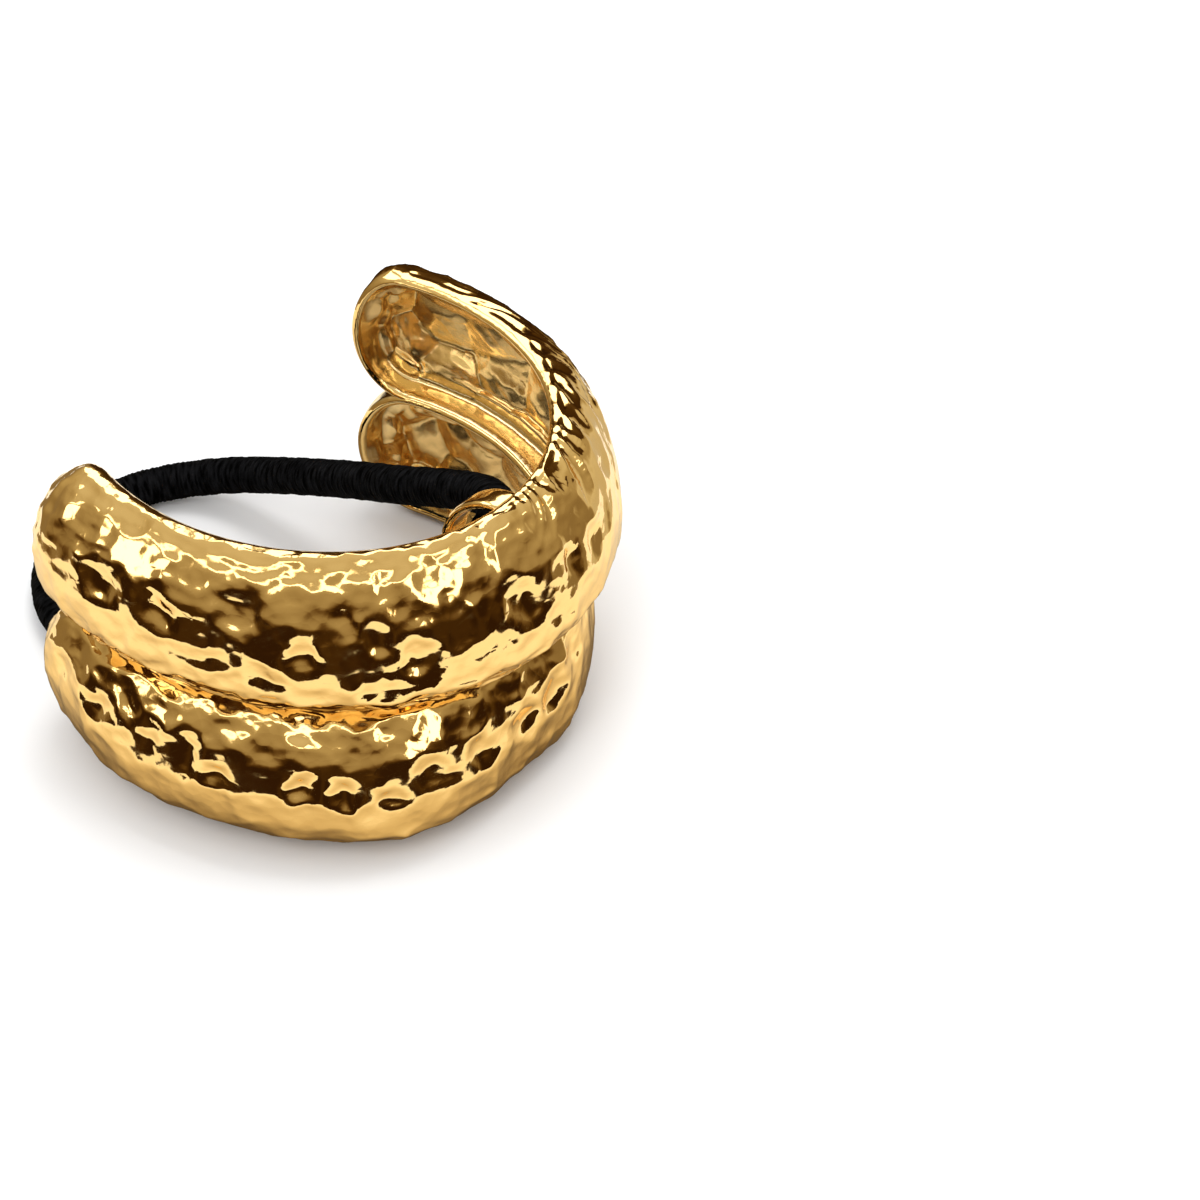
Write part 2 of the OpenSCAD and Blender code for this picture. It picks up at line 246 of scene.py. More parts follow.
def route_points(steps):
    """The route as a closed Catmull-Rom curve: a cubic between each two points, steps places on each."""
    b = np.array(ROUTE, dtype=float) + (RING_X, RING_Y, 0)
    a, c, d = np.roll(b, 1, axis=0), np.roll(b, -1, axis=0), np.roll(b, -2, axis=0)
    f = (np.arange(steps) / steps)[None, :, None]
    a, b, c, d = (p[:, None, :] for p in (a, b, c, d))
    curve = 2 * b + (c - a) * f + (2 * a - 5 * b + 4 * c - d) * f**2 + (3 * b - a - 3 * c + d) * f**3
    return (curve / 2).reshape(-1, 3)


def evenly(points, count):
    """A closed line again with count points at equal steps along it."""
    closed = np.vstack([points, points[:1]])
    run = np.concatenate([[0], np.cumsum(np.linalg.norm(np.diff(closed, axis=0), axis=1))])
    at = np.arange(count) / count * run[-1]
    return np.stack([np.interp(at, run, closed[:, k]) for k in range(3)], axis=1)


def elastic_surface():
    """A tube along the route. Its radius is half the diameter less a groove between threads, the square
    of a cosine that turns once a thread, leaning round the tube and wandering a little, and less two
    sines that sink whole threads."""
    threads = round(ELASTIC_LENGTH / THREAD_PITCH)
    rings = threads * RINGS_PER_THREAD
    line = evenly(route_points(TUBE_STEPS), rings)
    along = np.roll(line, -1, axis=0) - np.roll(line, 1, axis=0)
    along /= np.linalg.norm(along, axis=1)[:, None]
    side = np.cross(along, [0, 0, 1.0])
    side /= np.linalg.norm(side, axis=1)[:, None]
    up = np.cross(side, along)
    turn = np.arange(ELASTIC_SIDES)[None, :] / ELASTIC_SIDES
    run = np.arange(rings)[:, None] / rings * threads
    round_tube = 2 * np.pi * turn
    wander = sum(share * np.sin(turns * round_tube + step * run) for share, turns, step in WANDERS)
    groove = np.cos(np.pi * (run + turn + wander)) ** 2
    sunk = np.sin(run * 1.7 + 3 * np.sin(round_tube + run * 0.31)) + np.sin(0.83 * run + 2 * round_tube)
    radius = ELASTIC_D / 2 - THREAD_HEIGHT * (GROOVE_SHARE * groove + SUNK_SHARE * sunk + REST_SHARE)
    angle = round_tube[:, :, None]
    out = np.sin(angle) * side[:, None, :] - np.cos(angle) * up[:, None, :]
    points = line[:, None, :] + radius[:, :, None] * out
    quads, corners = grid_quads(rings, ELASTIC_SIDES, closed=True)
    return points.reshape(-1, 3), quads, corners / (RINGS_PER_THREAD, ELASTIC_SIDES)


# Places along the cuff, from the left end to the right end, with how far each row stands out there, as
# shares of BULGE, and how much its face leans back above its widest line, as shares of DROOP
PLACE, UPPER, LOWER, UPPER_LEAN, LOWER_LEAN = range(5)
SECTIONS = np.array([
    (-1, 1.12, 1.08, 0, 0),
    (-0.66, 0.97, 1.37, 0.7, 0.5),
    (-0.33, 0.97, 1.45, 1, 0.7),
    (0, 0.95, 0.82, 1, 0.7),
    (0.33, 0.97, 0.58, 0.7, 0.4),
    (0.66, 0.84, 0.68, 0, 0),
    (1, 0.86, 0.95, 0, 0),
])

# Hammer dents charted on each row: place along it as a share of HALF_SPAN, place across it as a share of
# HALF_GIRTH, half length and half width as shares of DENT_LEN, turn in degrees, and depth as a share of
# DENT_DEPTH
UPPER_DENTS = [
    (-1.05, 0.15, 1.9, 1.3, 75, 0.8), (-0.9, 0.47, 0.8, 0.45, 90, 0.55), (-0.83, 0.47, 0.85, 0.55, 80, 0.5),
    (-0.76, 0.18, 0.75, 0.65, 95, 0.85), (-0.65, 0.17, 0.7, 0.6, -15, 0.85),
    (-0.72, -0.11, 0.5, 0.4, 45, 0.45), (-0.75, 0.75, 0.8, 0.5, -40, 0.45),
    (-0.6, 0.55, 0.7, 0.5, 100, 0.5), (-0.52, 0.34, 0.95, 0.7, 85, 1), (-0.56, -0.05, 0.6, 0.35, 0, 0.5),
    (-0.48, -0.1, 0.65, 0.4, -30, 0.6), (-0.45, 0.62, 0.7, 0.6, 65, 0.5),
    (-0.42, 0.06, 0.6, 0.55, 100, 0.9), (-0.36, 0.33, 0.65, 0.4, 90, 0.65),
    (-0.31, 0.17, 0.8, 0.5, 90, 0.85), (-0.25, 0, 0.7, 0.6, -55, 1), (-0.29, 0.63, 1, 0.35, 95, 0.5),
    (-0.22, 0.63, 1, 0.35, 98, 0.5), (-0.18, 0.2, 0.9, 0.45, 97, 0.45), (-0.11, 0.6, 1, 0.4, 95, 0.6),
    (-0.06, 0.12, 1, 0.7, -55, 0.95), (0, -0.1, 0.5, 0.35, -25, 0.45), (0.01, 0.62, 1, 0.4, 90, 0.6),
    (0.06, 0.15, 0.6, 0.5, 65, 0.8), (0.13, 0.12, 0.7, 0.6, 105, 0.8), (0.2, 0.17, 0.9, 0.6, 30, 0.65),
    (-0.43, -0.5, 0.5, 0.45, 0, 0.5), (-0.35, -0.43, 0.7, 0.45, 0, 0.55), (-0.25, -0.45, 0.7, 0.4, 0, 0.45),
    (-0.13, -0.42, 0.7, 0.4, 0, 0.4),
]
LOWER_DENTS = [
    (-0.86, 0.2, 0.85, 0.6, 63, 0.7), (-0.83, 0.45, 0.7, 0.45, 120, 0.5), (-0.76, 0.22, 0.7, 0.5, 42, 0.75),
    (-0.71, 0.38, 0.85, 0.4, 120, 0.65), (-0.66, 0.17, 0.85, 0.5, 90, 0.75),
    (-0.6, 0.22, 0.9, 0.55, 95, 0.95), (-0.55, 0.1, 0.5, 0.4, 30, 0.8), (-0.55, 0.46, 0.75, 0.5, 80, 0.45),
    (-0.48, 0.38, 0.7, 0.5, 76, 0.5), (-0.43, 0.1, 0.6, 0.5, 50, 0.95), (-0.43, 0.6, 0.6, 0.5, 77, 0.4),
    (-0.37, 0.08, 0.55, 0.45, 86, 0.9), (-0.36, 0.4, 0.65, 0.55, -30, 0.5),
    (-0.3, 0.05, 0.55, 0.45, -54, 0.85), (-0.29, 0.46, 0.65, 0.5, -60, 0.45),
    (-0.24, 0.14, 0.8, 0.55, -58, 1), (-0.19, 0.38, 0.85, 0.5, 97, 0.45),
    (-0.16, 0.1, 0.65, 0.5, -36, 0.85), (-0.06, 0.05, 0.7, 0.55, 0, 0.85),
    (-0.11, 0.4, 0.9, 0.7, -67, 0.35), (0.02, 0.08, 0.75, 0.55, 90, 0.85), (0, 0.5, 0.85, 0.7, 95, 0.35),
    (0.1, 0.22, 0.85, 0.6, 77, 0.65), (-0.78, -0.2, 1, 0.5, 43, 0.35), (-0.68, -0.4, 0.8, 0.45, 30, 0.45),
    (-0.58, -0.42, 0.8, 0.45, 20, 0.4), (-0.5, -0.38, 0.75, 0.5, 58, 0.45),
    (-0.4, -0.36, 0.8, 0.5, 80, 0.45), (-0.27, -0.22, 0.6, 0.45, -27, 0.45),
    (-0.18, -0.18, 0.65, 0.45, -23, 0.45), (-0.08, -0.2, 0.7, 0.5, -21, 0.45),
    (0.02, -0.15, 0.7, 0.55, 115, 0.45),
]

# Where the chart ends and how far plain dents go on past it, as shares of HALF_SPAN, and their distance
CHART_END = 0.26
PLAIN_SPAN = 0.7
DENT_GAP = 5.0

# Distance between the lines of plain dents and their shift from row to row, as shares of HALF_GIRTH, and
# the shaking of their places along and across
LINE_GAP = 0.4
LINE_SHIFT = 0.04
SHAKEN_ALONG = 0.3
SHAKEN_ACROSS = 0.1

# Half length, half width, turn and depth of the plain dents, each with the most that shaking adds
PLAIN_DENT = [(0.75, 0.2), (0.5, 0.1), (90, 50), (0.65, 0.25)]


def shake(i, j, k):
    """A value from -1 to 1 that looks random and is the same each time."""
    return math.sin(math.radians(i * 73 + j * 151 + k * 37))


def plain_dents(row):
    """Dents on a shaken grid of three lines round the right side, where none were charted."""
    steps = math.floor((1 - CHART_END) * HALF_SPAN / DENT_GAP)
    return [
        (
            CHART_END + PLAIN_SPAN * (i + SHAKEN_ALONG * shake(i, j, 1)) / steps,
            j * LINE_GAP + SHAKEN_ACROSS * shake(i, j, 2) + LINE_SHIFT * row,
            *(mean + spread * shake(i, j, k) for k, (mean, spread) in enumerate(PLAIN_DENT, 3)),
        )
        for i in range(steps + 1)
        for j in (-1, 0, 1)
    ]


def eased(x):
    """Rises smoothly from 0 to 1 as x does."""
    f = np.clip(x, 0, 1)
    return f * f * (3 - 2 * f)


def section(x, column):
    """A column of SECTIONS at place x, eased from one place of the table to the next."""
    i = np.clip(np.searchsorted(SECTIONS[:, PLACE], x) - 1, 0, len(SECTIONS) - 2)
    a, b = SECTIONS[i], SECTIONS[i + 1]
    share = eased((x - a[..., PLACE]) / (b[..., PLACE] - a[..., PLACE]))
    return a[..., column] + (b[..., column] - a[..., column]) * share


def hammered(dents, p, q):
    """Depth of the hammering at p along a row and q across it: the soft maximum of paraboloids over
    turned ellipses, one a dent, and of the bare surface."""
    total = np.ones_like(p)
    for along, across, length, width, turn, depth in dents:
        x, y = p - along * HALF_SPAN, q - across * HALF_GIRTH
        c, s = math.cos(math.radians(turn)), math.sin(math.radians(turn))
        a = (x * c + y * s) / (length * DENT_LEN)
        b = (y * c - x * s) / (width * DENT_LEN)
        total += np.exp(depth * DENT_DEPTH * (1 - a * a - b * b) / RIDGE)
    return RIDGE * np.log(total)


def ripple(p, q, size, seed, waves=7):
    """Uneven surface of about the given wavelength: plane sine waves in all directions, each bent by
    another, added up and divided by the root of their number."""
    total = np.zeros_like(p)
    for k in range(waves):
        angle = math.pi * (k + 0.4 * shake(k, seed, 1)) / waves
        length = size * (1 + 0.35 * shake(k, seed, 2))
        x = (p * math.cos(angle) + q * math.sin(angle)) / length
        y = (q * math.cos(angle) - p * math.sin(angle)) / length
        bend = 1.3 * np.sin(2.1 * y + 3 * shake(k, seed, 3))
        total += np.sin(2 * np.pi * x + bend + 6 * shake(k, seed, 4))
    return total / math.sqrt(waves)


def on_ring(u, w, z):
    """The point at distance u along the ring's ellipse from the cuff's middle, w out from it and z up."""
    t = u / MM_PER_RAD
    out = np.stack([np.sin(t) / RING_HALF_W, -np.cos(t) / RING_HALF_D], axis=-1)
    out *= (w / np.linalg.norm(out, axis=-1))[..., None]
    x = RING_X + RING_HALF_W * np.sin(t) + out[..., 0]
    y = RING_Y - RING_HALF_D * np.cos(t) + out[..., 1]
    return np.stack([x, y, z + np.zeros_like(x)], axis=-1)


def outline(end, steps, rounds):
    """Once round a row: steps points along its top, rounds round its right end, and back the same way.
    The columns are the place on the middle line, the share along and the share up."""
    straight = HALF_SPAN - end
    places = np.linspace(-straight, straight, steps)
    angles = np.radians(np.linspace(90, -90, rounds + 1)[1:-1])
    top = np.stack([places, 0 * places, 1 + 0 * places], axis=1)
    right = np.stack([straight + 0 * angles, np.cos(angles), np.sin(angles)], axis=1)
    return np.concatenate([top, right, top[::-1] * (1, 1, -1), right[::-1] * (-1, -1, 1)])


def scatter(i, j, seed):
    """A number from 0 to 1 for each whole-number place: the fraction of a large multiple of a sine."""
    a = np.sin(i * 12.9898 + j * 78.233 + seed * 37.719) * 4375.85
    return a - np.floor(a)


def facets(p, q, cell, seed):
    """A cover of small hammer marks: 1 at the nearest mark's centre, less the square of the distance to
    it in cells. One mark stands at a scattered place in each cell of a grid."""
    u, v = p / cell, q / cell
    i, j = np.floor(u), np.floor(v)
    nearest = np.full(p.shape, 9.0)
    for a in (-1, 0, 1):
        for b in (-1, 0, 1):
            x = u - i - a - 0.15 - 0.7 * scatter(i + a, j + b, seed)
            y = v - j - b - 0.15 - 0.7 * scatter(i + a, j + b, seed + 5)
            nearest = np.minimum(nearest, x * x + y * y)
    return 1 - nearest


# Place along the row past which the flutes lie over, over how long a stretch, and how fast they follow
# each other along the row and across it, before that place and as a change past it
LIE_AT = 20
LIE_SOFT = 3
FLUTES_ALONG = (0.88, -0.42)
FLUTES_ACROSS = (0.48, 0.41)

# How far the flutes sway, over what length, the line across the row that their slant turns about, and
# the nearest start of a flute to the middle line, with what scatter adds to it
FLUTE_SWAY = 0.9
SWAY_LENGTH = 8
FLUTE_LINE = 8
FLUTE_START = 3.2
START_SCATTER = 5

# Share of FLUTE_DEPTH that every flute has, and what scatter adds to it
FLUTE_LEAST = 0.5
FLUTE_SCATTER = 0.9

# Stretches over which the flutes set in, across the row and at their first and last place along it
FLUTE_RISE = 2.4
FLUTED_FROM, FLUTED_FROM_SOFT = -3, 7
FLUTED_TO, FLUTED_TO_SOFT = 46, 5


def flutes(p, q):
    """Depth of the slanted flutes on the free side of the upper row's right half, and the share of the
    surface that they take: a parabola across each, between sharp ridges, from a scattered start towards
    the rim. Past LIE_AT they lie over towards the row's own direction."""
    past = (p - LIE_AT) / LIE_SOFT
    lying = 1 / (1 + np.exp(-past))
    run = FLUTES_ALONG[0] * p + FLUTES_ALONG[1] * LIE_SOFT * np.logaddexp(0, past)
    run -= (FLUTES_ACROSS[0] + FLUTES_ACROSS[1] * lying) * (q - FLUTE_LINE)
    bent = (run + FLUTE_SWAY * ripple(p, 0.5 * q, SWAY_LENGTH, 21)) / FLUTE_PITCH
    cell = np.floor(bent)
    across = bent - cell
    start = FLUTE_START + START_SCATTER * scatter(cell, 0, 5)
    share = eased((q - start) / FLUTE_RISE)
    share = share * eased((p - FLUTED_FROM) / FLUTED_FROM_SOFT) * eased((FLUTED_TO - p) / FLUTED_TO_SOFT)
    groove = FLUTE_DEPTH * 4 * across * (1 - across)
    return groove * (FLUTE_LEAST + FLUTE_SCATTER * scatter(cell, 3, 5)), share


# How the hammering is shifted along and across the row, so that no mark is regular: by how much, over
# what length, and the seeds along and across
SHIFTS = [(0.18, 5.5, 2, 11), (0.07, 2, 4, 13)]

# Where the creases set in along and across the row, and over what lengths
CREASED_FROM, CREASED_FROM_SOFT = 3, 9
CREASED_OVER, CREASED_OVER_SOFT = -9, 5


def relief(row, p, q, within):
    """Depth of everything hammered into a row's skin: charted dents, smaller marks that fade in deep
    dents, long creases on the right side, and flutes. Within the row, each blow shows as a soft lump."""
    x, y = p, q
    for amount, size, along_seed, across_seed in SHIFTS:
        x = x + amount * ripple(p, q, size, along_seed + row)
        y = y + amount * ripple(p, q, size, across_seed + row)
    depth = hammered((UPPER_DENTS if row > 0 else LOWER_DENTS) + plain_dents(row), x, y)
    depth += MARK_DEPTH * facets(x, y, MARK_CELL, 3 + row) * np.clip(1 - depth / MARK_FADE, MARK_LEAST, 1)
    fine_waves = FINE_WAVE_DEPTH * ripple(p, q, FINE_WAVE, 3 + row)
    depth += FINE_DEPTH * facets(x, y, FINE_CELL, 6 + row) + fine_waves
    slant = x - CREASE_SLANT * y
    creases = CREASE_DEPTH * facets(slant, CREASE_STRETCH * y, CREASE_CELL, 12 + row)
    creases += FINE_CREASE_DEPTH * facets(slant, FINE_CREASE_STRETCH * y, FINE_CREASE_CELL, 14 + row)
    right = eased((p - CREASED_FROM) / CREASED_FROM_SOFT) * eased((q - CREASED_OVER) / CREASED_OVER_SOFT)
    depth += CREASED * right * (creases - depth + DEEP_KEPT * np.maximum(depth - DEEP_DENT, 0))
    if row > 0:
        groove, share = flutes(p, q)
        depth += share * (groove + FLUTED_DEPTH * facets(x, y, FLUTED_CELL, 8) + FLUTED_SUNK - depth)
    outer = np.maximum(depth - MEAN_DEPTH, -HIGHEST)
    if not within:
        return outer
    lumps = LUMP_DEPTH * facets(x, y, UPPER_LUMP if row > 0 else LOWER_LUMP, 9 + row)
    lumps += LUMP_WAVE_DEPTH * ripple(p, q, LUMP_WAVE, 5 + row)
    return np.maximum(lumps, outer - OUTER_LESS)


# Shares of the way from the middle line to the rim: the last stretch, where the relief runs out at a
# free rim, where it has run out at the shared rim, and where the tuck starts
FREE_FADE = 0.1
SHARED_FADE_END, SHARED_FADE = 0.82, 0.2
TUCK_FROM, TUCK_SOFT = 0.8, 0.2


def skin(row, o, g, inset, within):
    """Points of a row's skin at share g from its middle line to its rim, inset into the metal. The
    section is a superellipse, height to one power and depth to the same, rounder on the free side. Round
    ends turn it about the end of the middle line. The relief shortens it along both. The inner skin is
    the one within."""
    place, along, up = o[..., 0], o[..., 1], o[..., 2]
    end = UPPER_END if row > 0 else LOWER_END
    free = eased((1 + row * up) / 2)
    power = SHARED_POWER + (FREE_POWER - SHARED_POWER) * free
    shared = RIM_TUCK * (1 - free) if row < 0 else 0
    height = SHARED_H + SWELL * free - shared
    deep = BULGE * section(place / HALF_SPAN, UPPER if row > 0 else LOWER)
    lean = section(place / HALF_SPAN, UPPER_LEAN if row > 0 else LOWER_LEAN)
    power = power + (LEAN_POWER - power) * lean * eased((1 + up) / 2)
    droop = DROOP * lean
    fade = np.clip((1 - g) / FREE_FADE, 0, 1)
    fade = fade * (free + (1 - free) * eased((SHARED_FADE_END - g) / SHARED_FADE))
    p = place + HALF_GIRTH * g * along
    q = HALF_GIRTH * g * up - DENT_DROOP * droop * (1 - g)
    d = inset + fade * relief(row, p, q, within)
    high = np.cos(np.pi / 2 * (1 - g)) ** (2 / power)
    out = np.abs(np.sin(np.pi / 2 * (1 - g))) ** (2 / power)
    w = (deep - d) * out
    lift = SWELL * free * np.clip(1 - w / SWELL_REACH, 0, 1) ** 2
    tuck = shared * eased((g - TUCK_FROM) / TUCK_SOFT)
    z = up * (high * (height - d) - lift) - droop * (1 - high)
    return on_ring(place + along * high * (end - d), w - tuck, z)


def rim_edge(row, o, s):
    """The rounded edge of the rim at share s of its width: a half sine wave high."""
    along, up = o[..., 1], o[..., 2]
    end = UPPER_END if row > 0 else LOWER_END
    free = eased((1 + row * up) / 2)
    shared = RIM_TUCK * (1 - free) if row < 0 else 0
    inset = RIM_W * s
    w = -RIM_ROUND * np.sin(np.pi * s) - shared
    return on_ring(o[..., 0] + along * (end - inset), w, up * (SHARED_H - shared - inset))


# Points along each side of a row and round its ends, and rings across its skin, crowded towards the rim
STEPS = 400
ROUNDS = 50
OUTER_RINGS = 70
RIM_RINGS = 7
INNER_RINGS = 24
RING_CROWDING = 0.9

# Least height of the metal over the floor, and the share of the way to the rim past which the inner skin
# has the rim's width and not the wall's
FLOOR_GAP = 0.02
RIM_SHARE = 0.97

# Value of the inside attribute between close walls, where it paints the gold paler as painted light, and
# where it sets in, outside and inside, on the way to the rim
FACING = 0.5
FACING_OUTER, FACING_OUTER_SOFT = 0.7, 0.25
FACING_INNER, FACING_INNER_SOFT = 0.6, 0.3


def row_surface(row):
    """A closed skin of rings round a row: from the middle line out to the rim, over it, and back along
    the inside to the middle line. The inside attribute is 0 outside and 1 inside, and near the shared
    rim, where the walls face others closely, it eases to FACING on both, where the gold is painted paler."""
    o = outline(UPPER_END if row > 0 else LOWER_END, STEPS, ROUNDS)[None]
    g = np.linspace(0, 1, OUTER_RINGS)[:, None] ** RING_CROWDING
    s = np.linspace(0, 1, RIM_RINGS + 2)[1:-1, None]
    back = np.linspace(1, 0, INNER_RINGS)[:, None]
    o_outer = np.broadcast_to(o, (OUTER_RINGS,) + o.shape[1:])
    o_rim = np.broadcast_to(o, (RIM_RINGS,) + o.shape[1:])
    o_inner = np.broadcast_to(o, (INNER_RINGS,) + o.shape[1:])
    inset = np.where(back > RIM_SHARE, RIM_W, WALL)
    outer = skin(row, o_outer, np.broadcast_to(g, o_outer.shape[:2]), 0.0, False)
    rim = rim_edge(row, o_rim, np.broadcast_to(s, o_rim.shape[:2]))
    inner = skin(row, o_inner, np.broadcast_to(back, o_inner.shape[:2]), inset, True)
    points = np.concatenate([outer, rim, inner])
    points[..., 2] = np.maximum(points[..., 2] + (UPPER_Z if row > 0 else LOWER_Z), FLOOR_GAP)
    inside = np.zeros(points.shape[:2])
    shared = 1 - eased((1 + row * o[..., 2]) / 2)
    inside[:OUTER_RINGS] = FACING * shared * eased((g - FACING_OUTER) / FACING_OUTER_SOFT)
    facing = (1 - FACING) * shared * eased((back - FACING_INNER) / FACING_INNER_SOFT)
    inside[OUTER_RINGS + RIM_RINGS:] = 1 - facing
    return points.reshape(-1, 3), grid_quads(*points.shape[:2])[0], inside.ravel()


# Rings along the holder, points round it, and the power that squares its section
HOLDER_RINGS = 90
HOLDER_SIDES = 40
STRAP_POWER = 3.5


def holder_surface():
    """The strap: a superellipse of HOLDER_W by HOLDER_T carried along a flattened half ring, from the
    shared rim's middle in over the elastic and up to the upper rim's."""
    a = np.linspace(-np.pi / 2, np.pi / 2, HOLDER_RINGS)
    y = np.abs(np.cos(a)) ** (2 / HOLDER_POWER) * HOLDER_IN
    z = np.sign(a) * np.abs(np.sin(a)) ** (2 / HOLDER_POWER) * (SHARED_H - RIM_W / 2)
    line = np.stack([RING_X + HOLDER_X + 0 * a, RING_Y + y - RING_HALF_D, UPPER_Z + z], axis=1)
    ahead = np.gradient(line, axis=0)
    ahead /= np.linalg.norm(ahead, axis=1)[:, None]
    across = np.array([1.0, 0, 0])
    out = np.cross(ahead, across)
    t = np.arange(HOLDER_SIDES) / HOLDER_SIDES * 2 * np.pi
    wide = np.sign(np.cos(t)) * np.abs(np.cos(t)) ** (2 / STRAP_POWER) * HOLDER_W / 2
    thick = np.sign(np.sin(t)) * np.abs(np.sin(t)) ** (2 / STRAP_POWER) * HOLDER_T / 2
    points = line[:, None] + wide[None, :, None] * across + thick[None, :, None] * out[:, None]
    quads, _ = grid_quads(HOLDER_RINGS, HOLDER_SIDES)
    first = np.arange(HOLDER_SIDES)
    return points.reshape(-1, 3), quads, (first, first + (HOLDER_RINGS - 1) * HOLDER_SIDES)


def node_group(name, inputs, outputs):
    """An empty shader node group with named sockets, and its input and output nodes."""
    tree = bpy.data.node_groups.new(name, "ShaderNodeTree")
    for label, kind, value in inputs:
        socket = tree.interface.new_socket(name=label, in_out="INPUT", socket_type=kind)
        if value is not None:
            socket.default_value = value
    for label, kind in outputs:
        tree.interface.new_socket(name=label, in_out="OUTPUT", socket_type=kind)
    return tree, tree.nodes.new("NodeGroupInput"), tree.nodes.new("NodeGroupOutput")


# Between these two values lies most of what a noise texture gives
NOISE_LOW = 0.35
NOISE_HIGH = 0.65


def polish_marks_group():
    """Polish marks: a slow noise that varies the roughness, a fine one that stirs the surface, and a
    cover of small cells that crumples it."""
    tree, given, result = node_group(
        "polish_marks",
        [
            ("Coordinates", "NodeSocketVector", None),
            ("Patch size", "NodeSocketFloat", 0.004),
            ("Grain size", "NodeSocketFloat", 0.0004),
            ("Low", "NodeSocketFloat", 0.1),
            ("High", "NodeSocketFloat", 0.2),
            ("Grain height", "NodeSocketFloat", 0.00001),
            ("Mark size", "NodeSocketFloat", 0.001),
            ("Mark height", "NodeSocketFloat", 0.00001),
        ],
        [("Roughness", "NodeSocketFloat"), ("Normal", "NodeSocketVector")],
    )
    new, link = tree.nodes.new, tree.links.new
    textures = []
    for size in ("Patch size", "Grain size", "Mark size"):
        share = new("ShaderNodeMath")
        share.operation = "DIVIDE"
        share.inputs[0].default_value = 1
        link(given.outputs[size], share.inputs[1])
        texture = new("ShaderNodeTexVoronoi" if size == "Mark size" else "ShaderNodeTexNoise")
        texture.inputs["Detail"].default_value = 0 if size == "Mark size" else 3
        link(given.outputs["Coordinates"], texture.inputs["Vector"])
        link(share.outputs[0], texture.inputs["Scale"])
        textures.append(texture)
    patches, grain, cells = textures
    spread = new("ShaderNodeMapRange")
    spread.inputs["From Min"].default_value = NOISE_LOW
    spread.inputs["From Max"].default_value = NOISE_HIGH
    link(patches.outputs["Fac"], spread.inputs["Value"])
    link(given.outputs["Low"], spread.inputs["To Min"])
    link(given.outputs["High"], spread.inputs["To Max"])
    stirred = new("ShaderNodeBump")
    stirred.inputs["Strength"].default_value = 1
    link(grain.outputs["Fac"], stirred.inputs["Height"])
    link(given.outputs["Grain height"], stirred.inputs["Distance"])
    crumpled = new("ShaderNodeBump")
    crumpled.inputs["Strength"].default_value = 1
    link(cells.outputs["Distance"], crumpled.inputs["Height"])
    link(given.outputs["Mark height"], crumpled.inputs["Distance"])
    link(stirred.outputs["Normal"], crumpled.inputs["Normal"])
    link(spread.outputs["Result"], result.inputs["Roughness"])
    link(crumpled.outputs["Normal"], result.inputs["Normal"])
    return tree


POLISH_MARKS = polish_marks_group()


def new_material(name):
    """A material with its Principled shader and Object coordinates."""
    material = bpy.data.materials.new(name)
    material.use_nodes = True
    tree = material.node_tree
    shader = tree.nodes["Principled BSDF"]
    return material, tree, shader, tree.nodes.new("ShaderNodeTexCoord").outputs["Object"]


def tone_ramp(tree, tones):
    """A Color Ramp with a stop for each place and colour of a table."""
    ramp = tree.nodes.new("ShaderNodeValToRGB")
    stops = ramp.color_ramp.elements
    for stop, (place, colour) in ((stops[0], tones[0]), (stops[1], tones[-1])):
        stop.position = place
        stop.color = colour + (1,)
    for place, colour in tones[1:-1]:
        stops.new(place).color = colour + (1,)
    return ramp


def polish_marks(tree, place, values):
    """The group of polish marks in a material, with its own values, on Object coordinates."""
    marks = tree.nodes.new("ShaderNodeGroup")
    marks.node_tree = POLISH_MARKS
    for key, value in values.items():
        marks.inputs[key].default_value = value
    tree.links.new(place, marks.inputs["Coordinates"])
    return marks


# The plate's colour where the inside attribute is 0 outside, FACING between close walls and 1 in hollows
# Between close walls the gold is painted paler: painted light against the orange of gold mirrored in gold
GOLD_AND_PAINTED_LIGHT_TONES = [(0.0, (0.95, 0.66, 0.27)), (FACING, (0.92, 0.74, 0.41)), (1.0, (0.94, 0.66, 0.28))]

# How much rougher the hollows are, and the polish marks, with sizes and heights in metres
HOLLOW_ROUGHER = 0.15
GOLD_MARKS = {
    "Low": 0.05,
    "High": 0.12,
    "Patch size": 0.004,
    "Grain size": 0.0005,
    "Grain height": 0.000006,
    "Mark size": 0.0011,
    "Mark height": 0.00004,
}


def gold_material():
    """Polished yellow gold plate. The rows' hollows, where the inside attribute is 1, are less polished,
    and walls that face each other closely are painted paler: painted light against the orange of gold
    mirrored in gold."""
    material, tree, shader, place = new_material("polished_gold")
    new, link = tree.nodes.new, tree.links.new
    inside = new("ShaderNodeAttribute")
    inside.attribute_name = "inside"
    marks = polish_marks(tree, place, GOLD_MARKS)
    rougher = new("ShaderNodeMath")
    rougher.operation = "MULTIPLY_ADD"
    rougher.inputs[1].default_value = HOLLOW_ROUGHER
    link(inside.outputs["Fac"], rougher.inputs[0])
    link(marks.outputs["Roughness"], rougher.inputs[2])
    tone = tone_ramp(tree, GOLD_AND_PAINTED_LIGHT_TONES)
    link(inside.outputs["Fac"], tone.inputs["Fac"])
    link(tone.outputs["Color"], shader.inputs["Base Color"])
    link(rougher.outputs[0], shader.inputs["Roughness"])
    link(marks.outputs["Normal"], shader.inputs["Normal"])
    shader.inputs["Metallic"].default_value = 1
    return material


# Turns of the fibre noise round the elastic, its colours, and the marks, with sizes and heights in metres
FIBRES_ROUND = 6
FIBRE_TONES = [(0.4, (0.0003, 0.0003, 0.0004)), (0.72, (0.009, 0.009, 0.01))]
ELASTIC_MARKS = {
    "Low": 0.6,
    "High": 0.8,
    "Patch size": 0.003,
    "Grain size": 0.00012,
    "Grain height": 0.00004,
    "Mark size": 0.0004,
    "Mark height": 0.00006,
}


